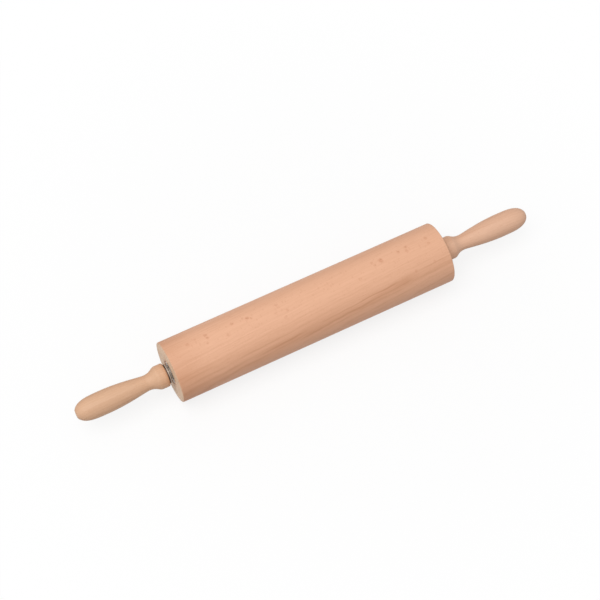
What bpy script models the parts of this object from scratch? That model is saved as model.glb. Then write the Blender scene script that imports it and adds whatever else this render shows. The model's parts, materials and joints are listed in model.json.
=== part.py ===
"""Rolling pin: a beech barrel turns on two ball bearings round a fixed steel rod.

Each turned handle screws onto the rod's end through a brass insert, and clamps a shouldered
spacer and the bearing's inner race against a shoulder of the rod.

Metres, +Z up. The pin lies along X, the lowest face of its barrel on z = 0 and the origin
under the barrel's middle.
"""

import math

import bmesh
import bpy
from mathutils import Matrix, Vector
from mathutils.geometry import interpolate_bezier

# Clearances between pieces
SEAT_GAP = 0.0003            # between a piece and the seat that holds it
RUNNING_GAP = 0.00015        # inside a bearing, where a ball or a shield runs

# Barrel
BARREL_DIAMETER = 0.060
BARREL_LENGTH = 0.284
BARREL_EDGE_ROUND = 0.0005
BARREL_BORE_DIAMETER = 0.013
BEARING_SEAT_CHAMFER = 0.0004

# Ball bearings, 8 x 22 x 7 mm
BEARING_BORE = 0.008
BEARING_DIAMETER = 0.022
BEARING_WIDTH = 0.007
BEARING_INSET = 0.0005       # depth of the bearing's face inside the barrel's end
BEARING_CHAMFER = 0.0003
BALL_COUNT = 7
BALL_SHARE = 0.567           # ball diameter, of the mean of the rings' height and the bearing's width
LAND_SHARE = 0.30            # height of a race's land off the pitch circle, of the ball diameter
SHIELD_SEAT_SHARE = 0.45     # shield seat's place in the outer race's wall, from the land outwards
CAGE_WALL_SHARE = 0.38       # radial wall of the cage, of the ball diameter
CAGE_FRONT_SHARE = 0.225     # reach of the cage's fingers past the balls' centres, of their diameter
CAGE_BACK_WALL = 0.00025     # wall behind the cage's pockets
CAGE_POCKET_GAP = 0.00025    # round a ball in its pocket
SHIELD_THICKNESS = 0.00025
SHIELD_INSET = 0.0001        # depth of the shield's face inside the race's face
SHIELD_DISH = 0.00015        # how far the shield's web is pressed inwards
SHIELD_BORE_GAP = 0.00025    # between the shield's inner edge and the inner race

# Rod
ROD_DIAMETER = 0.010
ROD_CHAMFER = 0.0006
ROD_END_MARGIN = 0.002       # how far the rod's end stops short of the insert's end

# Shouldered spacers
SPACER_FLANGE_MARGIN = 0.0015    # width of the bearing's rim that the flange leaves bare
SPACER_FLANGE_THICKNESS = 0.0013
SPACER_INNER_HUB_LENGTH = 0.0020
SPACER_OUTER_HUB_DIAMETER = 0.014
SPACER_OUTER_HUB_LENGTH = 0.0008
SPACER_EDGE_ROUND = 0.0003

# Threaded inserts of the handles
INSERT_DIAMETER = 0.011
INSERT_LENGTH = 0.014
INSERT_RECESS = 0.0005       # depth of the insert's face inside the collar's face
INSERT_BARB_DEPTH = 0.0006
INSERT_BARB_COUNT = 4
INSERT_TOP_LAND = 0.002      # plain band at the insert's outer end

# Handles, places measured along the handle from its collar's face
HANDLE_LENGTH = 0.0896
COLLAR_DIAMETER = 0.0229
COLLAR_LENGTH = 0.0074
COLLAR_EDGE_ROUND = 0.0012
NECK_DIAMETER = 0.0150
NECK_PLACE = 0.0197
GRIP_DIAMETER = 0.0226
GRIP_PLACE = 0.0621
TIP_FLAT_DIAMETER = 0.008
NOSE_SQUARE_SHARE = 0.45     # how square the nose is: 0 gives half an ellipse
COLLAR_TANGENT_SHARE = 0.30  # tangents of the curve from collar to neck, of its length
COVE_TANGENT_SHARE = 0.62
NECK_TANGENT_SHARE = 0.10    # tangents of the curve from neck to grip, of its length
GRIP_TANGENT_SHARE = 0.50

# Facets
BARREL_STEPS = 64
HANDLE_STEPS = 32
METAL_STEPS = 28
SMALL_STEPS = 20
CAGE_STEPS = 28
BALL_SEGMENT_COUNT = 12
BALL_RING_COUNT = 6
NOSE_POINT_COUNT = 8
OGEE_POINT_COUNT = 6
GROOVE_SEGMENT_COUNT = 5
ROUND_SEGMENT_COUNT = 2
SHARP_ANGLE = math.radians(35)

# Radii and places that follow from the sizes above. A place at an end of the pin is measured
# outwards from the barrel's end face, and one in a bearing from the bearing's middle.
BARREL_RADIUS = BARREL_DIAMETER / 2
AXIS_HEIGHT = BARREL_RADIUS * math.cos(math.pi / BARREL_STEPS)
PITCH_RADIUS = (BEARING_BORE + BEARING_DIAMETER) / 4
RINGS_HEIGHT = (BEARING_DIAMETER - BEARING_BORE) / 2
BALL_RADIUS = BALL_SHARE * math.sqrt(RINGS_HEIGHT * BEARING_WIDTH) / 2
GROOVE_RADIUS = BALL_RADIUS + RUNNING_GAP
LAND_OFFSET = LAND_SHARE * 2 * BALL_RADIUS
INNER_LAND_RADIUS = PITCH_RADIUS - LAND_OFFSET
OUTER_LAND_RADIUS = PITCH_RADIUS + LAND_OFFSET
HALF_WIDTH = BEARING_WIDTH / 2
SHIELD_SEAT_RADIUS = OUTER_LAND_RADIUS + SHIELD_SEAT_SHARE * (BEARING_DIAMETER / 2 - OUTER_LAND_RADIUS)
SHIELD_FACE = HALF_WIDTH - SHIELD_INSET
SHIELD_SEAT_PLACE = SHIELD_FACE - SHIELD_THICKNESS - RUNNING_GAP
BEARING_PLACE = -BEARING_INSET - HALF_WIDTH
BEARING_SEAT_DEPTH = BEARING_INSET + BEARING_WIDTH + SEAT_GAP
JOURNAL_RADIUS = BEARING_BORE / 2 - SEAT_GAP
SPACER_PLACE = SEAT_GAP - BEARING_INSET
SPACER_LENGTH = SPACER_INNER_HUB_LENGTH + SPACER_FLANGE_THICKNESS + SPACER_OUTER_HUB_LENGTH
COLLAR_PLACE = SPACER_PLACE + SPACER_LENGTH + SEAT_GAP
INSERT_PLACE = COLLAR_PLACE + INSERT_RECESS
ROD_SHOULDER = BARREL_LENGTH / 2 - BEARING_SEAT_DEPTH
ROD_HALF_LENGTH = BARREL_LENGTH / 2 + INSERT_PLACE + INSERT_LENGTH - ROD_END_MARGIN

SIDES = {"left": -1, "right": 1}


def clear_scene():
    """Remove whatever the scene holds."""
    for obj in list(bpy.data.objects):
        bpy.data.objects.remove(obj)


def new_collection(name):
    """A collection linked to the scene."""
    collection = bpy.data.collections.new(name)
    bpy.context.scene.collection.children.link(collection)
    return collection


def new_material(name, colour, roughness, metallic):
    """A Principled material in one colour."""
    material = bpy.data.materials.new(name)
    material.use_nodes = True
    shader = material.node_tree.nodes["Principled BSDF"]
    shader.inputs["Base Color"].default_value = (*colour, 1.0)
    shader.inputs["Roughness"].default_value = roughness
    shader.inputs["Metallic"].default_value = metallic
    material.diffuse_color = (*colour, 1.0)
    return material


def barrel_material():
    return new_material("barrel_beech", (0.78, 0.45, 0.29), 0.55, 0.0)


def handle_material():
    return new_material("handle_beech", (0.76, 0.47, 0.28), 0.5, 0.0)


def rod_material():
    return new_material("rod_steel", (0.62, 0.62, 0.63), 0.3, 1.0)


def spacer_material():
    return new_material("spacer_steel", (0.75, 0.75, 0.76), 0.22, 1.0)


def race_material():
    return new_material("race_steel", (0.55, 0.55, 0.56), 0.18, 1.0)


def ball_material():
    return new_material("ball_steel", (0.8, 0.8, 0.81), 0.06, 1.0)


def shield_material():
    return new_material("shield_steel", (0.6, 0.6, 0.6), 0.35, 1.0)


def cage_material():
    return new_material("cage_nylon", (0.75, 0.7, 0.6), 0.45, 0.0)


def insert_material():
    return new_material("insert_brass", (0.78, 0.58, 0.26), 0.3, 1.0)


def arc(centre, radius, start, end, count):
    """Points (radius, height) on a round stretch of a profile, angles in degrees from outwards."""
    points = []
    for index in range(count + 1):
        angle = math.radians(start + (end - start) * index / count)
        points.append((centre[0] + radius * math.cos(angle), centre[1] + radius * math.sin(angle)))
    return points


def ogee(top, bottom, top_share, bottom_share):
    """S-curve down from one level place to another, without its first point."""
    length = top[1] - bottom[1]
    curve = interpolate_bezier(
        Vector(top),
        Vector((top[0], top[1] - top_share * length)),
        Vector((bottom[0], bottom[1] + bottom_share * length)),
        Vector(bottom),
        OGEE_POINT_COUNT + 1,
    )
    return [tuple(point) for point in curve[1:]]


def apply_modifiers(obj):
    """Give an object the mesh that its modifiers make, smooth but for its sharp edges."""
    evaluated = obj.evaluated_get(bpy.context.evaluated_depsgraph_get())
    mesh = bpy.data.meshes.new_from_object(evaluated)
    mesh.name = obj.data.name
    obj.modifiers.clear()
    obj.data = mesh
    mesh.shade_smooth()
    mesh.set_sharp_from_angle(angle=SHARP_ANGLE)


def turned_mesh(name, points, steps, closed, material, phase=0.0):
    """Mesh of a profile turned about local Z, its points (radius, height) down the outer side."""
    mesh = bpy.data.meshes.new(name)
    vertices = [(r * math.cos(phase), r * math.sin(phase), height) for r, height in points]
    edges = [(index, index + 1) for index in range(len(points) - 1)]
    if closed:
        edges.append((len(points) - 1, 0))
    mesh.from_pydata(vertices, edges, [])
    mesh.materials.append(material)
    obj = bpy.data.objects.new(name, mesh)
    bpy.context.scene.collection.objects.link(obj)
    screw = obj.modifiers.new("turn", "SCREW")
    screw.axis = "Z"
    screw.steps = steps
    screw.render_steps = steps
    screw.use_smooth_shade = True
    screw.use_merge_vertices = True
    screw.merge_threshold = 0.00001
    apply_modifiers(obj)
    turned = obj.data
    bpy.data.objects.remove(obj)
    return turned


def place(name, mesh, parent, location=(0.0, 0.0, 0.0)):
    """One object of the part, held by an empty on the pin's axis."""
    obj = bpy.data.objects.new(name, mesh)
    obj.parent = parent
    obj.location = location
    PART.objects.link(obj)
    return obj


def new_empty(name, location, turn, parent=None):
    """An empty on the pin's axis, whose local Z lies along the pin."""
    empty = bpy.data.objects.new(name, None)
    empty.location = location
    empty.rotation_euler = (0.0, turn, 0.0)
    empty.parent = parent
    PART.objects.link(empty)
    return empty


def barrel_mesh():
    """Cylinder with eased edges, a through bore and a bearing seat in each end."""
    half = BARREL_LENGTH / 2
    seat_radius = BEARING_DIAMETER / 2 + SEAT_GAP
    bore_radius = BARREL_BORE_DIAMETER / 2
    seat_floor = half - BEARING_SEAT_DEPTH
    round_centre = BARREL_RADIUS - BARREL_EDGE_ROUND
    round_height = half - BARREL_EDGE_ROUND
    points = arc((round_centre, round_height), BARREL_EDGE_ROUND, 90, 0, ROUND_SEGMENT_COUNT)
    points += arc((round_centre, -round_height), BARREL_EDGE_ROUND, 0, -90, ROUND_SEGMENT_COUNT)
    points += [
        (seat_radius + BEARING_SEAT_CHAMFER, -half),
        (seat_radius, BEARING_SEAT_CHAMFER - half),
        (seat_radius, -seat_floor),
        (bore_radius, -seat_floor),
        (bore_radius, seat_floor),
        (seat_radius, seat_floor),
        (seat_radius, half - BEARING_SEAT_CHAMFER),
        (seat_radius + BEARING_SEAT_CHAMFER, half),
    ]
    half_step = math.pi / BARREL_STEPS
    return turned_mesh("barrel", points, BARREL_STEPS, True, barrel_material(), half_step)


def rod_mesh():
    """Rod with a thick shank between the bearings and a thinner journal at each end."""
    shank = ROD_DIAMETER / 2
    points = [
        (0.0, ROD_HALF_LENGTH),
        (JOURNAL_RADIUS - ROD_CHAMFER, ROD_HALF_LENGTH),
        (JOURNAL_RADIUS, ROD_HALF_LENGTH - ROD_CHAMFER),
        (JOURNAL_RADIUS, ROD_SHOULDER),
        (shank, ROD_SHOULDER),
    ]
    points += [(radius, -height) for radius, height in reversed(points)]
    return turned_mesh("centre_rod", points, SMALL_STEPS, False, rod_material())


def nose_points():
    """Handle's nose, from the edge of the flat on its tip down to its thickest place."""
    grip = GRIP_DIAMETER / 2
    flat_share = TIP_FLAT_DIAMETER / GRIP_DIAMETER
    power = 2 / (1 - NOSE_SQUARE_SHARE)
    last = (1 - flat_share ** 2) ** (1 / power)
    points = []
    for index in range(NOSE_POINT_COUNT + 1):
        along = last * math.cos(math.pi / 2 * index / NOSE_POINT_COUNT)
        radius = grip * math.sqrt(1 - along ** power)
        points.append((radius, GRIP_PLACE + (HANDLE_LENGTH - GRIP_PLACE) * along / last))
    return points


def handle_mesh():
    """Turned handle with a blind hole for the insert, its collar's face at height zero."""
    collar = COLLAR_DIAMETER / 2
    hole_radius = INSERT_DIAMETER / 2 + SEAT_GAP
    hole_depth = INSERT_RECESS + INSERT_LENGTH + SEAT_GAP
    grip_end = (GRIP_DIAMETER / 2, GRIP_PLACE)
    neck = (NECK_DIAMETER / 2, NECK_PLACE)
    collar_end = (collar, COLLAR_LENGTH)
    edge_centre = (collar - COLLAR_EDGE_ROUND, COLLAR_EDGE_ROUND)
    points = [(0.0, HANDLE_LENGTH)]
    points += nose_points()
    points += ogee(grip_end, neck, GRIP_TANGENT_SHARE, NECK_TANGENT_SHARE)
    points += ogee(neck, collar_end, COVE_TANGENT_SHARE, COLLAR_TANGENT_SHARE)
    points += arc(edge_centre, COLLAR_EDGE_ROUND, 0, -90, ROUND_SEGMENT_COUNT)
    points += [
        (hole_radius, 0.0),
        (hole_radius, hole_depth),
        (0.0, hole_depth),
    ]
    return turned_mesh("handle", points, HANDLE_STEPS, False, handle_material())


def insert_mesh():
    """Brass bush with barbs that grip the wood, its inner face at height zero."""
    outside = INSERT_DIAMETER / 2
    bore = JOURNAL_RADIUS + SEAT_GAP
    barb_length = (INSERT_LENGTH - INSERT_TOP_LAND) / INSERT_BARB_COUNT
    points = [(outside - INSERT_BARB_DEPTH, INSERT_LENGTH)]
    for index in range(INSERT_BARB_COUNT):
        barb_end = INSERT_LENGTH - (index + 1) * barb_length
        points.append((outside, barb_end))
        if index < INSERT_BARB_COUNT - 1:
            points.append((outside - INSERT_BARB_DEPTH, barb_end))
    points += [(outside, 0.0), (bore, 0.0), (bore, INSERT_LENGTH)]
    return turned_mesh("handle_insert", points, SMALL_STEPS, True, insert_material())


def spacer_mesh():
    """Shouldered washer: a hub to the inner race, a round-edged flange and a hub to the collar."""
    inner_hub = INNER_LAND_RADIUS - SEAT_GAP
    outer_hub = SPACER_OUTER_HUB_DIAMETER / 2
    flange = BEARING_DIAMETER / 2 - SPACER_FLANGE_MARGIN
    bore = JOURNAL_RADIUS + SEAT_GAP
    flange_bottom = SPACER_INNER_HUB_LENGTH
    flange_top = flange_bottom + SPACER_FLANGE_THICKNESS
    round_radius = flange - SPACER_EDGE_ROUND
    top_centre = (round_radius, flange_top - SPACER_EDGE_ROUND)
    bottom_centre = (round_radius, flange_bottom + SPACER_EDGE_ROUND)
    points = [(outer_hub, SPACER_LENGTH), (outer_hub, flange_top)]
    points += arc(top_centre, SPACER_EDGE_ROUND, 90, 0, ROUND_SEGMENT_COUNT)
    points += arc(bottom_centre, SPACER_EDGE_ROUND, 0, -90, ROUND_SEGMENT_COUNT)
    points += [(inner_hub, flange_bottom), (inner_hub, 0.0), (bore, 0.0), (bore, SPACER_LENGTH)]
    return turned_mesh("spacer", points, METAL_STEPS, True, spacer_material())


def outer_race_mesh():
    """Bearing's outer ring: a groove for the balls inside and a shield seat at each face."""
    outside = BEARING_DIAMETER / 2
    reach = math.degrees(math.acos(LAND_OFFSET / GROOVE_RADIUS))
    points = [
        (outside - BEARING_CHAMFER, HALF_WIDTH),
        (outside, HALF_WIDTH - BEARING_CHAMFER),
        (outside, BEARING_CHAMFER - HALF_WIDTH),
        (outside - BEARING_CHAMFER, -HALF_WIDTH),
        (SHIELD_SEAT_RADIUS, -HALF_WIDTH),
        (SHIELD_SEAT_RADIUS, -SHIELD_SEAT_PLACE),
        (OUTER_LAND_RADIUS, -SHIELD_SEAT_PLACE),
    ]
    points += arc((PITCH_RADIUS, 0.0), GROOVE_RADIUS, -reach, reach, GROOVE_SEGMENT_COUNT)
    points += [
        (OUTER_LAND_RADIUS, SHIELD_SEAT_PLACE),
        (SHIELD_SEAT_RADIUS, SHIELD_SEAT_PLACE),
        (SHIELD_SEAT_RADIUS, HALF_WIDTH),
    ]
    return turned_mesh("outer_race", points, METAL_STEPS, True, race_material())


def inner_race_mesh():
    """Bearing's inner ring: a groove for the balls outside and a plain bore."""
    bore = BEARING_BORE / 2
    reach = math.degrees(math.acos(LAND_OFFSET / GROOVE_RADIUS))
    points = [(INNER_LAND_RADIUS, HALF_WIDTH)]
    points += arc((PITCH_RADIUS, 0.0), GROOVE_RADIUS, 180 - reach, 180 + reach, GROOVE_SEGMENT_COUNT)
    points += [
        (INNER_LAND_RADIUS, -HALF_WIDTH),
        (bore + BEARING_CHAMFER, -HALF_WIDTH),
        (bore, BEARING_CHAMFER - HALF_WIDTH),
        (bore, HALF_WIDTH - BEARING_CHAMFER),
        (bore + BEARING_CHAMFER, HALF_WIDTH),
    ]
    return turned_mesh("inner_race", points, SMALL_STEPS, True, race_material())


def shield_mesh():
    """Pressed ring that closes a bearing's side, its web dished towards the balls."""
    rim = SHIELD_SEAT_RADIUS - RUNNING_GAP
    inner = INNER_LAND_RADIUS + SHIELD_BORE_GAP
    step = OUTER_LAND_RADIUS - SHIELD_DISH
    back = SHIELD_FACE - SHIELD_THICKNESS
    points = [
        (rim, SHIELD_FACE),
        (rim, back),
        (OUTER_LAND_RADIUS, back),
        (step, back - SHIELD_DISH),
        (inner, back - SHIELD_DISH),
        (inner, SHIELD_FACE - SHIELD_DISH),
        (step, SHIELD_FACE - SHIELD_DISH),
        (OUTER_LAND_RADIUS, SHIELD_FACE),
    ]
    return turned_mesh("shield", points, SMALL_STEPS, True, shield_material())


def ball_centres():
    """Centres of a bearing's balls, evenly spaced on its pitch circle."""
    centres = []
    for index in range(BALL_COUNT):
        angle = 2 * math.pi * index / BALL_COUNT
        centres.append(Vector((PITCH_RADIUS * math.cos(angle), PITCH_RADIUS * math.sin(angle), 0.0)))
    return centres


def spheres_mesh(name, radius, centres, material=None):
    """Mesh of spheres about the given centres."""
    mesh = bpy.data.meshes.new(name)
    shape = bmesh.new()
    for centre in centres:
        bmesh.ops.create_uvsphere(
            shape,
            u_segments=BALL_SEGMENT_COUNT,
            v_segments=BALL_RING_COUNT,
            radius=radius,
            matrix=Matrix.Translation(centre),
        )
    shape.to_mesh(mesh)
    shape.free()
    mesh.shade_smooth()
    if material:
        mesh.materials.append(material)
    return mesh


def cage_ring_mesh():
    """Plain ring of the cage, before its pockets are cut."""
    wall = CAGE_WALL_SHARE * BALL_RADIUS
    front = CAGE_FRONT_SHARE * 2 * BALL_RADIUS
    back = -BALL_RADIUS - CAGE_POCKET_GAP - CAGE_BACK_WALL
    outer = PITCH_RADIUS + wall
    inner = PITCH_RADIUS - wall
    points = [(outer, front), (outer, back), (inner, back), (inner, front)]
    return turned_mesh("ball_cage", points, CAGE_STEPS, True, cage_material())


def make_cage(side, centre, ring, pockets):
    """Crown cage: a ring whose pockets hold the balls and are open towards the barrel's end."""
    cage = place("ball_cage_" + side, ring, centre)
    cutter = bpy.data.objects.new("cage_pockets_" + side, pockets)
    cutter.parent = centre
    cutter.hide_render = True
    cutter.display_type = "WIRE"
    CUTTERS.objects.link(cutter)
    cut = cage.modifiers.new("pockets", "BOOLEAN")
    cut.operation = "DIFFERENCE"
    cut.solver = "EXACT"
    cut.object = cutter


def make_bearing(side, end, meshes):
    """One ball bearing in its seat in the barrel's end."""
    centre = new_empty("bearing_axis_" + side, (0.0, 0.0, BEARING_PLACE), 0.0, end)
    place("outer_race_" + side, meshes["outer_race"], centre)
    place("inner_race_" + side, meshes["inner_race"], centre)
    for number, ball_centre in enumerate(ball_centres(), start=1):
        place("ball_{}_{}".format(side, number), meshes["ball"], centre, ball_centre)
    make_cage(side, centre, meshes["cage_ring"], meshes["cage_pockets"])
    place("shield_outer_" + side, meshes["shield"], centre)
    inner_shield = place("shield_inner_" + side, meshes["shield"], centre)
    inner_shield.rotation_euler = (math.pi, 0.0, 0.0)


def make_end(side, direction, meshes):
    """Everything at one end of the pin: bearing, spacer, handle and its insert."""
    location = (direction * BARREL_LENGTH / 2, 0.0, AXIS_HEIGHT)
    end = new_empty("barrel_end_" + side, location, direction * math.pi / 2)
    make_bearing(side, end, meshes)
    place("spacer_" + side, meshes["spacer"], end, (0.0, 0.0, SPACER_PLACE))
    place("handle_" + side, meshes["handle"], end, (0.0, 0.0, COLLAR_PLACE))
    place("handle_insert_" + side, meshes["handle_insert"], end, (0.0, 0.0, INSERT_PLACE))


def end_meshes():
    """Meshes that the two ends of the pin share."""
    pocket_radius = BALL_RADIUS + CAGE_POCKET_GAP
    return {
        "outer_race": outer_race_mesh(),
        "inner_race": inner_race_mesh(),
        "shield": shield_mesh(),
        "ball": spheres_mesh("ball", BALL_RADIUS, [Vector((0.0, 0.0, 0.0))], ball_material()),
        "cage_ring": cage_ring_mesh(),
        "cage_pockets": spheres_mesh("cage_pockets", pocket_radius, ball_centres()),
        "spacer": spacer_mesh(),
        "handle": handle_mesh(),
        "handle_insert": insert_mesh(),
    }


clear_scene()
PART = new_collection("rolling_pin")
CUTTERS = new_collection("cutters")

pin_axis = new_empty("pin_axis", (0.0, 0.0, AXIS_HEIGHT), math.pi / 2)
place("barrel", barrel_mesh(), pin_axis)
place("centre_rod", rod_mesh(), pin_axis)
shared_meshes = end_meshes()
for side_name, side_direction in SIDES.items():
    make_end(side_name, side_direction, shared_meshes)
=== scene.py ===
"""Looks of the rolling pin: finely turned beech pieces, steel and a plain studio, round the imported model."""

import json
import math
from dataclasses import dataclass

import bmesh
import bpy
from mathutils import Matrix, Vector
from mathutils.geometry import interpolate_bezier


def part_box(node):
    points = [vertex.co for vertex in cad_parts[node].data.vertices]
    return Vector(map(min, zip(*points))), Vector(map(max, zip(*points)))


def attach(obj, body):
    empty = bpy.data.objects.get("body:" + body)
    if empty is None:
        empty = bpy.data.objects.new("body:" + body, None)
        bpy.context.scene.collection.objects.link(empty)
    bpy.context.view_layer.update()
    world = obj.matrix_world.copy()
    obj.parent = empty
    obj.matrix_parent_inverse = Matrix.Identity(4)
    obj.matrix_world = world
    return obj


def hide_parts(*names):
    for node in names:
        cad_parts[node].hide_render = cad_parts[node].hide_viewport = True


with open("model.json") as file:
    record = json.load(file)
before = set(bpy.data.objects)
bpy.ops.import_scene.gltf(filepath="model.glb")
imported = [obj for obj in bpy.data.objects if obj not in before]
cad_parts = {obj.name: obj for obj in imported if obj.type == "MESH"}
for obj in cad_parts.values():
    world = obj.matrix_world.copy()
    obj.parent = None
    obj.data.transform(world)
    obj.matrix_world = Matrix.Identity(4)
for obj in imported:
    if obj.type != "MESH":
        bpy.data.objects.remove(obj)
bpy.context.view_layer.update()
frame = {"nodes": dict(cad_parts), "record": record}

MM = 0.001

# The pin, from the frame
BARREL_LOW, BARREL_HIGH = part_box("barrel")
BARREL_CENTRE = (BARREL_LOW + BARREL_HIGH) / 2
BARREL_HALF = (BARREL_HIGH.x - BARREL_LOW.x) / 2
BARREL_RADIUS = (BARREL_HIGH.z - BARREL_LOW.z) / 2
SIDES = {"left": -1, "right": 1}

# Camera, fitted to the outline of the pin in a 600 pixel square picture
PICTURE_SIZE = 600
FOCAL_PIXELS = 1739
SENSOR_WIDTH = 36
CAMERA_AZIMUTH = math.radians(-26.91)
CAMERA_ELEVATION = math.radians(61.23)
CAMERA_DISTANCE = 1.6323
CAMERA_LEFT = 0.0068
CAMERA_UP = 0.0105

# Light: a soft lamp high up on the left, a little in front of the pin, and the sky
SKY_LEVEL = 0.52           # sky's light, as a share of the white that the camera sees behind the pin
KEY_SIZE = 3.6
KEY_PLACE = Vector((-1.5, -0.4, 4.2))
KEY_POWER = 120.0

# Floor
FLOOR_SIZE = 12.0
FLOOR_DROP = 0.2 * MM
FLOOR_SEEN = 0.96          # floor's white as the camera and the metal see it
FLOOR_BOUNCE = 0.46        # and as it lights the pin from below
FLOOR_GLOW_SHARE = 0.8     # how much of what the camera sees of it needs no light, near the pin
FLOOR_FADE = (0.12, 0.45)  # distance from the middle of the pin over which that grows to all of it


class Nodes:
    """A node tree, and short ways to build it."""

    def __init__(self, tree):
        self.tree = tree

    def put(self, socket, value):
        """Joins a socket to another one, or sets it to a constant."""
        if isinstance(value, bpy.types.NodeSocket):
            self.tree.links.new(value, socket)
        else:
            socket.default_value = value

    def node(self, kind, inputs, **settings):
        """A node with its settings and inputs, which are given by name or by number."""
        made = self.tree.nodes.new("ShaderNode" + kind)
        for name, value in settings.items():
            setattr(made, name, value)
        for key, value in inputs.items():
            self.put(made.inputs[key], value)
        return made

    def math(self, operation, *values, clamp=False):
        made = self.node("Math", dict(enumerate(values)), operation=operation, use_clamp=clamp)
        return made.outputs[0]

    def vector_math(self, operation, *values):
        """Result of a vector operation, which is a number for a length, distance or dot product."""
        made = self.node("VectorMath", dict(enumerate(values)), operation=operation)
        is_number = operation in ("LENGTH", "DISTANCE", "DOT_PRODUCT")
        return made.outputs["Value" if is_number else "Vector"]

    def between(self, value, levels):
        """A value from 0 to 1, brought to run between two levels."""
        low, high = levels
        return self.math("MULTIPLY_ADD", value, high - low, low)

    def centred(self, value, spread):
        """A value from 0 to 1, brought to run from half the spread below zero to half of it above."""
        return self.math("MULTIPLY_ADD", value, spread, -spread / 2)

    def combine(self, x, y, z):
        return self.node("CombineXYZ", {"X": x, "Y": y, "Z": z}).outputs[0]

    def split(self, vector):
        return self.node("SeparateXYZ", {0: vector}).outputs

    def noise(self, vector, scale=1.0, detail=1.0, roughness=0.5, output="Fac"):
        inputs = {"Vector": vector, "Scale": scale, "Detail": detail, "Roughness": roughness}
        return self.node("TexNoise", inputs).outputs[output]

    def band(self, value, low, high, levels=(0.0, 1.0)):
        """First level below low and second above high, or the other way round where low is the larger."""
        inputs = {"Value": value, "From Min": low, "From Max": high, "To Min": levels[0], "To Max": levels[1]}
        return self.node("MapRange", inputs, interpolation_type="SMOOTHSTEP").outputs["Result"]

    def ramp(self, value, stops):
        """Grey value that runs through stops of (place, level)."""
        made = self.node("ValToRGB", {"Fac": value})
        elements = made.color_ramp.elements
        while len(elements) < len(stops):
            elements.new(1.0)
        for element, (place, level) in zip(elements, stops):
            element.position = place
            element.color = (level, level, level, 1)
        return made.outputs["Color"]

    def mix(self, factor, first, second):
        return self.node("Mix", {"Factor": factor, 6: first, 7: second}, data_type="RGBA").outputs[2]

    def distance_from_axis(self, y, z):
        return self.vector_math("LENGTH", self.combine(0.0, y, z))

    def background_rays(self):
        """1 for rays that see the background itself: camera, glossy and transmission rays."""
        path = self.node("LightPath", {})
        total = path.outputs["Is Camera Ray"]
        for name in ("Is Glossy Ray", "Is Transmission Ray"):
            total = self.math("ADD", total, path.outputs[name], clamp=True)
        return total


class Paint(Nodes):
    """A Principled material and the nodes that feed it."""

    def __init__(self, name, metallic=0.0):
        self.material = bpy.data.materials.new(name)
        self.material.use_nodes = True
        super().__init__(self.material.node_tree)
        self.shader = self.tree.nodes["Principled BSDF"]
        self.feed("Metallic", metallic)

    def feed(self, name, value):
        """Joins one of the material's own inputs to a socket, or sets it to a constant."""
        self.put(self.shader.inputs[name], value)

    def bump(self, height, distance):
        made = self.node("Bump", {"Height": height, "Distance": distance, "Strength": 1.0})
        self.feed("Normal", made.outputs[0])


def colour(red, green, blue):
    """Linear colour from the 0 to 255 values of a picture."""
    linear = []
    for value in (red, green, blue):
        share = value / 255
        linear.append(share / 12.92 if share <= 0.04045 else ((share + 0.055) / 1.055) ** 2.4)
    return (*linear, 1.0)


def add_object(name, data):
    """New object in the scene, with its mesh, lamp or camera."""
    made = bpy.data.objects.new(name, data)
    bpy.context.scene.collection.objects.link(made)
    return made


def make_camera():
    """Camera at the photographed angle, with no roll."""
    data = bpy.data.cameras.new("camera")
    data.sensor_width = SENSOR_WIDTH
    data.lens = SENSOR_WIDTH * FOCAL_PIXELS / PICTURE_SIZE
    camera = add_object("camera", data)
    sin_a, cos_a = math.sin(CAMERA_AZIMUTH), math.cos(CAMERA_AZIMUTH)
    sin_e, cos_e = math.sin(CAMERA_ELEVATION), math.cos(CAMERA_ELEVATION)
    back = Vector((sin_a * cos_e, -cos_a * cos_e, sin_e))
    right = Vector((cos_a, sin_a, 0))
    up = Vector((-sin_a * sin_e, cos_a * sin_e, cos_e))
    camera.location = BARREL_CENTRE + CAMERA_DISTANCE * back - CAMERA_LEFT * right + CAMERA_UP * up
    camera.rotation_mode = "QUATERNION"
    camera.rotation_quaternion = Matrix((right, up, back)).transposed().to_quaternion()
    bpy.context.scene.camera = camera


def make_world():
    """White background, and a softer level of the same white as light."""
    world = bpy.data.worlds.new("studio")
    bpy.context.scene.world = world
    world.use_nodes = True
    nodes = Nodes(world.node_tree)
    background = world.node_tree.nodes["Background"]
    nodes.put(background.inputs["Color"], (1, 1, 1, 1))
    nodes.put(background.inputs["Strength"], nodes.between(nodes.background_rays(), (SKY_LEVEL, 1.0)))


def make_key_light():
    """One large soft lamp that faces the pin."""
    data = bpy.data.lights.new("key", "AREA")
    data.shape = "SQUARE"
    data.size = KEY_SIZE
    data.energy = KEY_POWER
    lamp = add_object("key", data)
    lamp.location = KEY_PLACE
    lamp.rotation_mode = "QUATERNION"
    lamp.rotation_quaternion = KEY_PLACE.to_track_quat("Z", "Y")


def floor_paint():
    """White that bounces less light than it shows, and that needs no light to look white far from the pin."""
    material = bpy.data.materials.new("floor_white")
    material.use_nodes = True
    material.node_tree.nodes.clear()
    nodes = Nodes(material.node_tree)
    seen = nodes.background_rays()
    diffuse = nodes.node("BsdfDiffuse", {"Color": nodes.between(seen, (FLOOR_BOUNCE, FLOOR_SEEN))})
    glow = nodes.node("Emission", {})
    distance = nodes.vector_math("LENGTH", nodes.node("TexCoord", {}).outputs["Object"])
    own_light = nodes.band(distance, *FLOOR_FADE, (FLOOR_GLOW_SHARE, 1.0))
    share = nodes.math("MULTIPLY", seen, own_light)
    mix = nodes.node("MixShader", {"Fac": share, 1: diffuse.outputs[0], 2: glow.outputs[0]})
    nodes.node("OutputMaterial", {"Surface": mix.outputs[0]})
    return material


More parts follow.
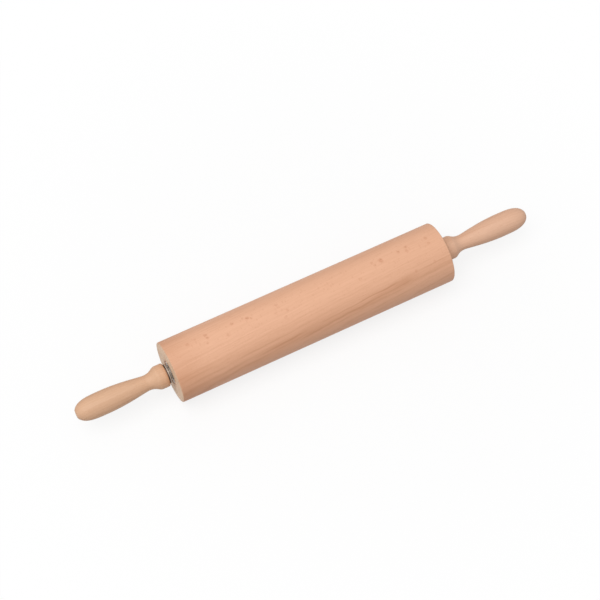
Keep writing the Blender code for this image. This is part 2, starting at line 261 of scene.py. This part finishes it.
def make_floor():
    """Pale floor that keeps the pin's shadow near it, and looks white to the camera."""
    mesh = bpy.data.meshes.new("floor")
    shape = bmesh.new()
    bmesh.ops.create_grid(shape, x_segments=1, y_segments=1, size=FLOOR_SIZE / 2)
    shape.to_mesh(mesh)
    shape.free()
    mesh.materials.append(floor_paint())
    floor = add_object("floor", mesh)
    floor.location.z = -FLOOR_DROP


@dataclass
class Wood:
    """How one piece was cut from its log. Places are from the piece's own axis, which is local X."""

    pith: tuple      # where the log's centre runs, across the piece
    slope: tuple     # how far the centre drifts for each unit along the piece
    ring: float      # width of a year's growth
    seed: float      # sets its grain apart from that of the other pieces
    pale: tuple
    dark: tuple
    fleck: tuple     # colour of the rays on its side
    darker_end: tuple   # a darker end: where it starts, where it is darkest, strength
    dark_years: tuple = ()    # growth that shows as a streak: radius, half width, strength, span


BARREL_WOOD = Wood(
    pith=(97.2 * MM, 23.3 * MM),
    slope=(0.049, 0.0),
    ring=3.1 * MM,
    seed=3.0,
    pale=colour(235, 182, 149),
    dark=colour(208, 151, 116),
    fleck=colour(194, 122, 88),
    # Darker towards its left end
    darker_end=(-100 * MM, -142 * MM, 0.34),
    dark_years=(
        (122.2 * MM, 0.7 * MM, 0.85, (8 * MM, 80 * MM)),
        (122.2 * MM, 0.6 * MM, 0.50, (-64 * MM, -20 * MM)),
        (122.4 * MM, 0.6 * MM, 0.28, (112 * MM, 160 * MM)),
        (123.1 * MM, 2.5 * MM, 0.34, (-160 * MM, 100 * MM)),
        (125.2 * MM, 0.6 * MM, 0.40, (-20 * MM, 100 * MM)),
        (118.6 * MM, 0.6 * MM, 0.08, (-160 * MM, 20 * MM)),
        (112.0 * MM, 0.6 * MM, 0.12, (-160 * MM, 160 * MM)),
    ),
)
HANDLE_WOOD = {
    "left": Wood(
        pith=(60 * MM, 21 * MM),
        slope=(0.03, -0.01),
        ring=2.4 * MM,
        seed=11.0,
        pale=colour(224, 181, 148),
        dark=colour(199, 150, 113),
        fleck=colour(192, 128, 92),
        # Collar darker towards the barrel: painted shade next to the barrel's end
        darker_end=(-4 * MM, 0.0, 0.6),
    ),
    "right": Wood(
        pith=(52 * MM, 30 * MM),
        slope=(-0.03, 0.02),
        ring=2.6 * MM,
        seed=23.0,
        pale=colour(231, 186, 157),
        dark=colour(204, 154, 121),
        fleck=colour(190, 124, 90),
        # Collar darker towards the barrel: painted shade next to the barrel's end
        darker_end=(4 * MM, 0.0, 0.6),
    ),
}
END_PALE = colour(246, 216, 186)
END_DARK = colour(221, 184, 151)
END_RAY = colour(247, 225, 202)
# End grain darker at its rim, and painted shade round its seat where the handle shades it: distance at which
# one starts and is full, strength
END_DARKENING = ((28.2 * MM, 29.8 * MM, 0.6), (14.5 * MM, 11.5 * MM, 0.45))

# All rates below are cells of noise a metre. Where there are three they run along the piece and across it
WANDER = 2.4 * MM                  # slow drift of the grain along a piece
WANDER_RATES = (7.0, 1.0, 1.0)
RIPPLE = 1.8 * MM                  # and its waves, a few centimetres long
RIPPLE_RATES = (44.0, 60.0, 60.0)
FLAT_CUT_BAND = (0.15, 0.9)        # how squarely a surface faces the log's centre: not flat cut, flat cut

# Growth rings
RING_SHIFT = 1.6                   # in years at most, which makes their widths uneven
RING_SHIFT_RATE = 220.0
RING_STOPS = ((0.0, 0.35), (0.2, 0.0), (0.5, 0.15), (0.85, 1.0), (1.0, 0.35))    # darkness through a year
RING_DEPTH_RATE = 5.0              # how dark a ring is, along the piece
RING_DEPTH_BAND = (0.36, 0.66)
RING_BREAK_RATES = (38.0, 700.0)   # breaks in them, along the piece and outwards
RING_BREAK_BAND = (0.3, 0.7)
RING_BREAK_LEVELS = (0.45, 1.55)   # strength in a break and outside it
RING_CUT_LEVELS = (0.42, 1.0)      # strength where the surface shows the rays, and where it is flat cut

# Broad bands of several years
BAND_RATES = (2.5, 190.0, 3.0)     # along the piece, outwards, and for each radian round the log
BAND_CUT_LEVELS = (0.3, 1.0)

# Long fibres, and shorter ones among them
FIBRE_RATES = (14.0, 650.0, 650.0)
FIBRE_NOISE = {"detail": 2.0, "roughness": 0.6}
PORE_RATES = (85.0, 1300.0, 1300.0)
PORE_NOISE = {"detail": 3.0, "roughness": 0.6}

# Dark years
YEAR_EDGES = (1.3, 0.3)            # distance from its middle at which one starts and is full, in half widths
YEAR_FADE = 9 * MM                 # half the length over which its ends fade
YEAR_BREAK_RATES = (13.0, 500.0)
YEAR_BREAK_BAND = (0.2, 0.65)

# How much of the dark colour each of them brings
SHADE_BASE = 0.09
SHADE_RINGS = 0.30
SHADE_FLAT_CUT = 0.26
SHADE_BANDS = 0.7
SHADE_FIBRES = 0.34
SHADE_PORES = 0.5

WOOD_SPECULAR = 0.35
WOOD_ROUGHNESS = (0.46, 0.61)
WOOD_BUMP = 0.014 * MM
BUMP_FIBRES = 0.6
BUMP_PORES = 0.4

# Rays, as long, deep and wide cells round the log's centre
RAY_REACH = 100 * MM               # distance from the log's centre at which a ray's width is given
RAY_LENGTH = 2.4 * MM
SIDE_RAYS = (7 * MM, 0.55 * MM, 0.13)    # depth, width, strength
END_RAYS = (24 * MM, 0.5 * MM, 0.55)
RAY_BLOB = 0.44                    # half its size, in cells
RAY_SHARE = 0.4                    # share of the cells that hold one
EDGE_JITTER = 0.6                  # raggedness of the edges of rays and specks, in cells
EDGE_JITTER_RATE = 900.0
BLOB_CORE = 0.5                    # share of a blob, outwards from its middle, where it is full
BLOB_CHOICE_BLUR = 0.05            # how gradually cells pass from holding a blob to holding none

# Groups of ray flecks on the barrel: mm along it, degrees from its top to the front, mm across, strength
FLECK_GROUPS = (
    (-120, -8, 5.0, 0.52),
    (-112, -12, 3.6, 0.35),
    (-102, -11, 5.2, 0.82),
    (-101, -4, 4.6, 0.70),
    (-103, 5, 3.6, 0.36),
    (-83, 7, 4.6, 0.55),
    (-75, -10, 5.0, 0.70),
    (-73, -30, 3.6, 0.25),
    (-64, -13, 3.4, 0.32),
    (-60, -9, 5.2, 0.65),
    (-57, -5, 3.8, 0.42),
    (-34, 6, 3.6, 0.28),
    (-30, -9, 4.6, 0.50),
    (-23, 9, 4.6, 0.42),
    (-27, 20, 4.4, 0.45),
    (52, 12, 4.6, 0.30),
    (69, -8, 3.8, 0.44),
    (71, -1, 4.0, 0.50),
    (78, -5, 6.4, 0.75),
    (84, 6, 3.6, 0.22),
    (97, -6, 4.8, 0.68),
    (106, -10, 5.0, 0.45),
    (105, -1, 4.6, 0.46),
    (127, -10, 5.0, 0.80),
    (127, 2, 4.4, 0.42),
    (125, 37, 4.4, 0.45),
    (105, 40, 4.2, 0.38),
)
GROUP_CORE = 0.3                   # share of a group, outwards from its middle, where it is full
GROUP_RAGGED = 2.2 * MM            # raggedness of its edge
GROUP_RAGGED_RATE = 420.0
SPECK_LENGTH = 1.7 * MM
SPECK_WIDTH = 0.75 * MM
SPECK_BLOB = 0.7
SPECK_SHARE = 0.6
SPECK_LEVELS = (0.36, 0.98)        # strength between the specks of a group, and on them


def grain_noise(paint, place, rates, seed, **settings):
    """Noise at a place of three parts, each with its own rate, the first of them shifted by the seed."""
    stretched = paint.combine(
        paint.math("MULTIPLY_ADD", place[0], rates[0], seed),
        paint.math("MULTIPLY", place[1], rates[1]),
        paint.math("MULTIPLY", place[2], rates[2]),
    )
    return paint.noise(stretched, **settings)


def breaks(paint, wood, x, radius, rates, limits):
    """0 where growth rings are broken, 1 where they aren't."""
    along = paint.math("MULTIPLY", x, rates[0])
    outwards = paint.math("MULTIPLY", radius, rates[1])
    return paint.band(paint.noise(paint.combine(along, outwards, wood.seed)), *limits)


def cell_blobs(paint, cells, reach, share):
    """1 inside a share of the cells of a Voronoi pattern, as blobs that fade towards the reach."""
    voronoi = paint.node("TexVoronoi", {"Vector": cells, "Scale": 1.0, "Randomness": 1.0})
    blob = paint.band(voronoi.outputs["Distance"], reach, BLOB_CORE * reach)
    draw = paint.split(voronoi.outputs["Color"])[0]
    chosen = paint.band(draw, share + BLOB_CHOICE_BLUR, share - BLOB_CHOICE_BLUR)
    return paint.math("MULTIPLY", blob, chosen)


def log_place(paint, wood, place):
    """Place across the log, from its centre, whose line wanders along the piece."""
    x, y, z = place
    wander = paint.split(grain_noise(paint, place, WANDER_RATES, wood.seed, output="Color"))
    ripple = paint.split(grain_noise(paint, place, RIPPLE_RATES, wood.seed, output="Color"))
    across = []
    for socket, pith, slope, part, wave in zip((y, z), wood.pith, wood.slope, wander, ripple):
        drift = paint.math("MULTIPLY_ADD", x, -slope, -pith)
        bend = paint.math("ADD", paint.centred(part, WANDER), paint.centred(wave, RIPPLE))
        across.append(paint.math("ADD", paint.math("ADD", socket, drift), bend))
    return across


def flat_cut(paint, normal, outward):
    """1 where the surface follows the rings, 0 where it cuts them squarely and shows the rays."""
    facing = paint.vector_math("DOT_PRODUCT", normal, paint.vector_math("NORMALIZE", outward))
    return paint.band(paint.math("ABSOLUTE", facing), *FLAT_CUT_BAND)


def growth_rings(paint, wood, x, radius, flat):
    """Darkness of the growth rings, of uneven width and depth, each with a thin dark end."""
    shift_place = paint.combine(wood.seed, paint.math("MULTIPLY", radius, RING_SHIFT_RATE), 0.0)
    years = paint.math("DIVIDE", radius, wood.ring)
    years = paint.math("MULTIPLY_ADD", paint.noise(shift_place), RING_SHIFT, years)
    along = paint.math("MULTIPLY", x, RING_DEPTH_RATE)
    depth = paint.noise(paint.combine(paint.math("FLOOR", years), along, wood.seed))
    unbroken = breaks(paint, wood, x, radius, RING_BREAK_RATES, RING_BREAK_BAND)
    rings = paint.ramp(paint.math("FRACT", years), RING_STOPS)
    rings = paint.math("MULTIPLY", rings, paint.band(depth, *RING_DEPTH_BAND))
    rings = paint.math("MULTIPLY", rings, paint.between(unbroken, RING_BREAK_LEVELS))
    return paint.math("MULTIPLY", rings, paint.between(flat, RING_CUT_LEVELS))


def broad_bands(paint, wood, x, radius, turn, flat):
    """Soft bands of several years together, some darker and some paler."""
    bands = grain_noise(paint, (x, radius, turn), BAND_RATES, wood.seed)
    return paint.math("MULTIPLY", paint.math("SUBTRACT", bands, 0.5), paint.between(flat, BAND_CUT_LEVELS))


def dark_streaks(paint, wood, x, radius, fibre):
    """Darkness of the listed years, whose edges are ragged, whose ends fade and which have breaks."""
    start_share, full_share = YEAR_EDGES
    ragged = paint.math("SUBTRACT", fibre, 0.5)
    total = 0.0
    for middle, half_width, strength, (first, last) in wood.dark_years:
        off = paint.math("ABSOLUTE", paint.math("SUBTRACT", radius, middle))
        off = paint.math("MULTIPLY_ADD", ragged, half_width, off)
        inside = paint.band(off, start_share * half_width, full_share * half_width)
        for place, fade in ((first, YEAR_FADE), (last, -YEAR_FADE)):
            inside = paint.math("MULTIPLY", inside, paint.band(x, place - fade, place + fade))
        total = paint.math("MULTIPLY_ADD", inside, strength, total)
    return paint.math("MULTIPLY", total, breaks(paint, wood, x, radius, YEAR_BREAK_RATES, YEAR_BREAK_BAND))


def rays(paint, x, radius, turn, jitter, depth, width):
    """Rays with ragged edges, which run out from the log's centre."""
    cells = paint.combine(
        paint.math("ADD", paint.math("DIVIDE", x, RAY_LENGTH), jitter),
        paint.math("ADD", paint.math("DIVIDE", radius, depth), jitter),
        paint.math("DIVIDE", turn, width / RAY_REACH),
    )
    return cell_blobs(paint, cells, RAY_BLOB, RAY_SHARE)


def group_mask(paint, position, groups):
    """How strongly a place lies in one of the listed groups of flecks, whose edges are ragged."""
    rough = paint.noise(position, scale=GROUP_RAGGED_RATE, output="Color")
    ragged = paint.vector_math("MULTIPLY_ADD", rough, (GROUP_RAGGED,) * 3, position)
    ragged = paint.vector_math("SUBTRACT", ragged, (GROUP_RAGGED / 2,) * 3)
    total = 0.0
    for along, degrees, across, strength in groups:
        angle = math.radians(degrees)
        centre = (along * MM, -BARREL_RADIUS * math.sin(angle), BARREL_RADIUS * math.cos(angle))
        distance = paint.vector_math("DISTANCE", ragged, centre)
        reach = across / 2 * MM
        near = paint.math("MULTIPLY", paint.band(distance, reach, GROUP_CORE * reach), strength)
        total = paint.math("MAXIMUM", total, near)
    return total


def grouped_flecks(paint, wood, position, jitter, groups):
    """Small specks round the barrel, inside the listed groups."""
    x, y, z = paint.split(position)
    arc_place = paint.math("MULTIPLY", paint.math("ARCTAN2", y, z), BARREL_RADIUS)
    cells = paint.combine(
        paint.math("ADD", paint.math("DIVIDE", x, SPECK_LENGTH), jitter),
        paint.math("ADD", paint.math("DIVIDE", arc_place, SPECK_WIDTH), jitter),
        wood.seed,
    )
    specks = paint.between(cell_blobs(paint, cells, SPECK_BLOB, SPECK_SHARE), SPECK_LEVELS)
    return paint.math("MULTIPLY", specks, group_mask(paint, position, groups))


def darken_end_grain(paint, tone, from_axis, dark):
    """End grain made darker at its rim, and with painted shade round its seat."""
    for start, full, strength in END_DARKENING:
        darkening = paint.math("MULTIPLY", paint.band(from_axis, start, full), strength)
        tone = paint.mix(darkening, tone, dark)
    return tone


def wood_paint(name, wood, groups=(), end=False):
    """Beech: growth rings round the log's centre, rays that run out from it, and long fibres."""
    paint = Paint(name)
    coordinates = paint.node("TexCoord", {})
    position = coordinates.outputs["Object"]
    x, y, z = paint.split(position)
    across = log_place(paint, wood, (x, y, z))
    outward = paint.combine(0.0, *across)
    radius = paint.vector_math("LENGTH", outward)
    turn = paint.math("ARCTAN2", across[1], across[0])
    flat = 1.0 if end else flat_cut(paint, coordinates.outputs["Normal"], outward)
    fibre = grain_noise(paint, (x, *across), FIBRE_RATES, wood.seed, **FIBRE_NOISE)
    pores = grain_noise(paint, (x, *across), PORE_RATES, wood.seed, **PORE_NOISE)

    # How much of the dark colour shows
    rings = growth_rings(paint, wood, x, radius, flat)
    bands = broad_bands(paint, wood, x, radius, turn, flat)
    shade = paint.math("MULTIPLY_ADD", rings, SHADE_RINGS, SHADE_BASE)
    shade = paint.math("ADD", shade, paint.math("MULTIPLY", flat, SHADE_FLAT_CUT))
    shade = paint.math("ADD", shade, paint.math("MULTIPLY", bands, SHADE_BANDS))
    if wood.dark_years:
        shade = paint.math("ADD", shade, dark_streaks(paint, wood, x, radius, fibre))
    # Darker towards one end: on a handle, painted shade on the collar next to the barrel; on the barrel,
    # darker towards its left end
    if not end:
        start, full, strength = wood.darker_end
        shade = paint.math("MULTIPLY_ADD", paint.band(x, start, full), strength, shade)
    shade = paint.math("ADD", shade, paint.centred(fibre, SHADE_FIBRES))
    shade = paint.math("ADD", shade, paint.centred(pores, SHADE_PORES), clamp=True)

    # Rays over it
    rough_edge = paint.noise(position, scale=EDGE_JITTER_RATE)
    jitter = paint.math("MULTIPLY_ADD", rough_edge, EDGE_JITTER, wood.seed - EDGE_JITTER / 2)
    depth, width, strength = END_RAYS if end else SIDE_RAYS
    ray = paint.math("MULTIPLY", rays(paint, x, radius, turn, jitter, depth, width), strength)
    if groups:
        ray = paint.math("MAXIMUM", ray, grouped_flecks(paint, wood, position, jitter, groups))

    if end:
        tone = paint.mix(ray, paint.mix(shade, END_PALE, END_DARK), END_RAY)
        tone = darken_end_grain(paint, tone, paint.distance_from_axis(y, z), wood.dark)
    else:
        tone = paint.mix(ray, paint.mix(shade, wood.pale, wood.dark), wood.fleck)
    fibre_height = paint.math("MULTIPLY", fibre, BUMP_FIBRES)
    pore_height = paint.math("MULTIPLY", pores, BUMP_PORES)
    paint.feed("Base Color", tone)
    paint.feed("Roughness", paint.between(fibre, WOOD_ROUGHNESS))
    paint.feed("Specular IOR Level", WOOD_SPECULAR)
    paint.bump(paint.math("ADD", fibre_height, pore_height), WOOD_BUMP)
    return paint.material


LATHE_RATE = 4000.0            # cells of noise a metre in the fine rings
LATHE_ROUGHNESS = 0.16         # how much they vary the roughness
LATHE_BUMP = 0.01 * MM
SMUDGE_RATE = 160.0
SMUDGE_LEVEL = 0.82            # brightness of a smudge, as a share of the clean surface's


def smooth_paint(name, tint, roughness, bump=0.0, metallic=1.0):
    """Metal or plastic with faint smudges, and fine rings about the pin's axis as a lathe leaves them."""
    paint = Paint(name, metallic)
    position = paint.node("TexCoord", {}).outputs["Object"]
    x, y, z = paint.split(position)
    along = paint.math("MULTIPLY", x, LATHE_RATE)
    outwards = paint.math("MULTIPLY", paint.distance_from_axis(y, z), LATHE_RATE)
    fine_rings = paint.noise(paint.combine(along, outwards, 0.0), detail=2.0)
    smudge = paint.noise(position, scale=SMUDGE_RATE, detail=2.0)
    smudged = (*(SMUDGE_LEVEL * part for part in tint[:3]), 1.0)
    paint.feed("Base Color", paint.mix(smudge, tint, smudged))
    half_range = LATHE_ROUGHNESS / 2
    paint.feed("Roughness", paint.between(fine_rings, (roughness - half_range, roughness + half_range)))
    if bump:
        paint.bump(fine_rings, bump)
    return paint.material


ARC_SEGMENTS = 8
OGEE_SEGMENTS = 24
NOSE_SEGMENTS = 28
BARREL_STEPS = 256
HANDLE_STEPS = 160
SPACER_STEPS = 128
MERGE_DISTANCE = 0.001 * MM
SHARP_ANGLE = math.radians(32)


def arc(centre, radius, start, end):
    """Points (radius, height) on a round stretch of a profile, angles in degrees from outwards."""
    points = []
    for index in range(ARC_SEGMENTS + 1):
        angle = math.radians(start + (end - start) * index / ARC_SEGMENTS)
        points.append((centre[0] + radius * math.cos(angle), centre[1] + radius * math.sin(angle)))
    return points


def ogee(top, bottom, top_share, bottom_share):
    """S-curve down from one level place to another, without its first point."""
    length = top[1] - bottom[1]
    curve = interpolate_bezier(
        Vector(top),
        Vector((top[0], top[1] - top_share * length)),
        Vector((bottom[0], bottom[1] + bottom_share * length)),
        Vector(bottom),
        OGEE_SEGMENTS + 1,
    )
    return [tuple(point) for point in curve[1:]]


def turned(name, points, steps, closed, body, materials, centre, outward=1):
    """A piece turned about local X from points (radius, place along X), which an outward of -1 mirrors."""
    mesh = bpy.data.meshes.new(name)
    shape = bmesh.new()
    vertices = [shape.verts.new((outward * along, 0, radius)) for radius, along in points]
    for first, second in zip(vertices, vertices[1:]):
        shape.edges.new((first, second))
    if closed:
        shape.edges.new((vertices[-1], vertices[0]))
    bmesh.ops.spin(
        shape,
        geom=shape.verts[:] + shape.edges[:],
        cent=(0, 0, 0),
        axis=(1, 0, 0),
        angle=2 * math.pi,
        steps=steps,
        use_merge=True,
    )
    bmesh.ops.remove_doubles(shape, verts=shape.verts[:], dist=MERGE_DISTANCE)
    bmesh.ops.recalc_face_normals(shape, faces=shape.faces[:])
    shape.to_mesh(mesh)
    shape.free()
    for material in materials:
        mesh.materials.append(material)
    mesh.shade_smooth()
    mesh.set_sharp_from_angle(angle=SHARP_ANGLE)
    piece = add_object(name, mesh)
    piece.location = centre
    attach(piece, body)
    return piece


def inner_end(low, high, direction):
    """Where the end of a piece that lies towards the barrel is, on the pin's axis."""
    return Vector((low.x if direction > 0 else high.x, BARREL_CENTRE.y, BARREL_CENTRE.z))


BARREL_EDGE_ROUND = 1.0 * MM
SEAT_RADIUS = 11.3 * MM
SEAT_DEPTH = 7.8 * MM
SEAT_CHAMFER = 0.4 * MM
BORE_RADIUS = 6.5 * MM
END_GRAIN_FACING = 0.3         # how much a face of the rim has to turn towards the end to show end grain


def barrel_points():
    """Outline of the barrel: its outside from right to left, then its seats and bore from left to right."""
    half, edge = BARREL_HALF, BARREL_EDGE_ROUND
    points = arc((BARREL_RADIUS - edge, half - edge), edge, 90, 0)
    points += arc((BARREL_RADIUS - edge, edge - half), edge, 0, -90)
    points += [
        (SEAT_RADIUS + SEAT_CHAMFER, -half),
        (SEAT_RADIUS, SEAT_CHAMFER - half),
        (SEAT_RADIUS, SEAT_DEPTH - half),
        (BORE_RADIUS, SEAT_DEPTH - half),
        (BORE_RADIUS, half - SEAT_DEPTH),
        (SEAT_RADIUS, half - SEAT_DEPTH),
        (SEAT_RADIUS, half - SEAT_CHAMFER),
        (SEAT_RADIUS + SEAT_CHAMFER, half),
    ]
    return points


def make_barrel():
    """Beech cylinder with eased edges, a bearing seat in each end, and end grain round the seats."""
    materials = [
        wood_paint("barrel_beech", BARREL_WOOD, groups=FLECK_GROUPS),
        wood_paint("barrel_end_grain", BARREL_WOOD, end=True),
    ]
    piece = turned("barrel_wood", barrel_points(), BARREL_STEPS, True, "roller", materials, BARREL_CENTRE)
    for face in piece.data.polygons:
        centre = face.center
        at_end = abs(centre.x) > BARREL_HALF - BARREL_EDGE_ROUND and abs(face.normal.x) > END_GRAIN_FACING
        if at_end and math.hypot(centre.y, centre.z) > SEAT_RADIUS:
            face.material_index = 1
    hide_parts("barrel")


COLLAR_RADIUS = 11.45 * MM
COLLAR_LENGTH = 7.4 * MM
COLLAR_EDGE_ROUND = 1.2 * MM
NECK_RADIUS = 7.5 * MM
NECK_PLACE = 19.7 * MM
GRIP_RADIUS = 11.3 * MM
GRIP_PLACE = 62.1 * MM
TIP_FLAT_RADIUS = 4.0 * MM
NOSE_SQUARE_SHARE = 0.45       # how square the nose is, where 0 is half an ellipse
NOSE_POWER = 2 / (1 - NOSE_SQUARE_SHARE)
COLLAR_TANGENT_SHARE = 0.30    # tangents of the curve between collar and neck, as shares of its length
COVE_TANGENT_SHARE = 0.62
NECK_TANGENT_SHARE = 0.10      # tangents of the curve between neck and grip, as shares of its length
GRIP_TANGENT_SHARE = 0.50
INSERT_HOLE_RADIUS = 5.8 * MM
INSERT_HOLE_DEPTH = 14.8 * MM


def handle_points(length):
    """Outline of a handle from its tip down to the blind hole in its collar's face."""
    last = (1 - (TIP_FLAT_RADIUS / GRIP_RADIUS) ** 2) ** (1 / NOSE_POWER)
    points = [(0.0, length)]
    for index in range(NOSE_SEGMENTS + 1):
        along = last * math.cos(math.pi / 2 * index / NOSE_SEGMENTS)
        radius = GRIP_RADIUS * math.sqrt(1 - along ** NOSE_POWER)
        points.append((radius, GRIP_PLACE + (length - GRIP_PLACE) * along / last))
    neck = (NECK_RADIUS, NECK_PLACE)
    collar = (COLLAR_RADIUS, COLLAR_LENGTH)
    edge = COLLAR_EDGE_ROUND
    points += ogee((GRIP_RADIUS, GRIP_PLACE), neck, GRIP_TANGENT_SHARE, NECK_TANGENT_SHARE)
    points += ogee(neck, collar, COVE_TANGENT_SHARE, COLLAR_TANGENT_SHARE)
    points += arc((COLLAR_RADIUS - edge, edge), edge, 0, -90)
    points += [(INSERT_HOLE_RADIUS, 0.0), (INSERT_HOLE_RADIUS, INSERT_HOLE_DEPTH), (0.0, INSERT_HOLE_DEPTH)]
    return points


def make_handle(side, direction):
    """Turned beech handle on one end of the rod."""
    low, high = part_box("handle_" + side)
    centre = inner_end(low, high, direction)
    materials = [wood_paint("handle_beech_" + side, HANDLE_WOOD[side])]
    points = handle_points(high.x - low.x)
    piece = turned("handle_wood_" + side, points, HANDLE_STEPS, False, "grip", materials, centre, direction)
    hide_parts("handle_" + side)


SPACER_BORE_RADIUS = 4.0 * MM
INNER_HUB_RADIUS = 6.0 * MM
OUTER_HUB_RADIUS = 7.0 * MM
FLANGE_START = 2.0 * MM
FLANGE_END = 3.3 * MM
SPACER_EDGE_ROUND = 0.3 * MM
PAINTED_SHADE_FACING = 0.7           # how much a face has to turn towards the handle to take the painted shade


def spacer_points(length, flange):
    """Outline of a spacer, from the outer hub's end over the flange to the bore."""
    edge = SPACER_EDGE_ROUND
    points = [(OUTER_HUB_RADIUS, length), (OUTER_HUB_RADIUS, FLANGE_END)]
    points += arc((flange - edge, FLANGE_END - edge), edge, 90, 0)
    points += arc((flange - edge, FLANGE_START + edge), edge, 0, -90)
    points += [
        (INNER_HUB_RADIUS, FLANGE_START),
        (INNER_HUB_RADIUS, 0.0),
        (SPACER_BORE_RADIUS, 0.0),
        (SPACER_BORE_RADIUS, length),
    ]
    return points


def make_spacer(side, direction, materials):
    """Shouldered washer between bearing and handle, with painted shade on its faces towards the handle and on
    its outer hub.
    """
    low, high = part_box("spacer_" + side)
    centre = inner_end(low, high, direction)
    points = spacer_points(high.x - low.x, (high.z - low.z) / 2)
    piece = turned("spacer_steel_" + side, points, SPACER_STEPS, True, "grip", materials, centre, direction)
    for face in piece.data.polygons:
        if face.normal.x * direction > PAINTED_SHADE_FACING or abs(face.center.x) > FLANGE_END:
            face.material_index = 1
    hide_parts("spacer_" + side)


def paint_nodes():
    """Gives the pieces that keep their CAD shape a material in place of their plain one."""
    paints = {
        "race_steel": smooth_paint("race_ground_steel", colour(214, 204, 192), 0.42),
        "shield_steel": smooth_paint("shield_pressed_steel", colour(196, 184, 172), 0.5),
        "rod_steel": smooth_paint("rod_turned_steel", colour(188, 189, 192), 0.3, LATHE_BUMP),
        "ball_steel": smooth_paint("ball_polished_steel", colour(230, 230, 232), 0.12),
        "insert_brass": smooth_paint("insert_turned_brass", colour(212, 176, 96), 0.3, LATHE_BUMP),
        "cage_nylon": smooth_paint("cage_moulded_nylon", colour(222, 214, 192), 0.5, metallic=0.0),
    }
    for part in frame["record"]["subparts"]:
        if part["material_slot"] in paints:
            mesh = frame["nodes"][part["node"]].data
            mesh.materials.clear()
            mesh.materials.append(paints[part["material_slot"]])


make_camera()
make_world()
make_key_light()
make_floor()
bpy.context.scene.view_settings.view_transform = "Standard"

make_barrel()
SPACER_STEEL = [
    # Warm grey: partly the steel's own colour, partly a painted reflection of the wood round it
    smooth_paint("spacer_dull_steel", colour(190, 179, 168), 0.6, LATHE_BUMP),
    # Same steel darker: painted shade in the narrow gap between flange and handle collar
    smooth_paint("spacer_painted_shade_steel", colour(160, 137, 122), 0.6, LATHE_BUMP),
]
for side_name, side_direction in SIDES.items():
    make_handle(side_name, side_direction)
    make_spacer(side_name, side_direction, SPACER_STEEL)
paint_nodes()
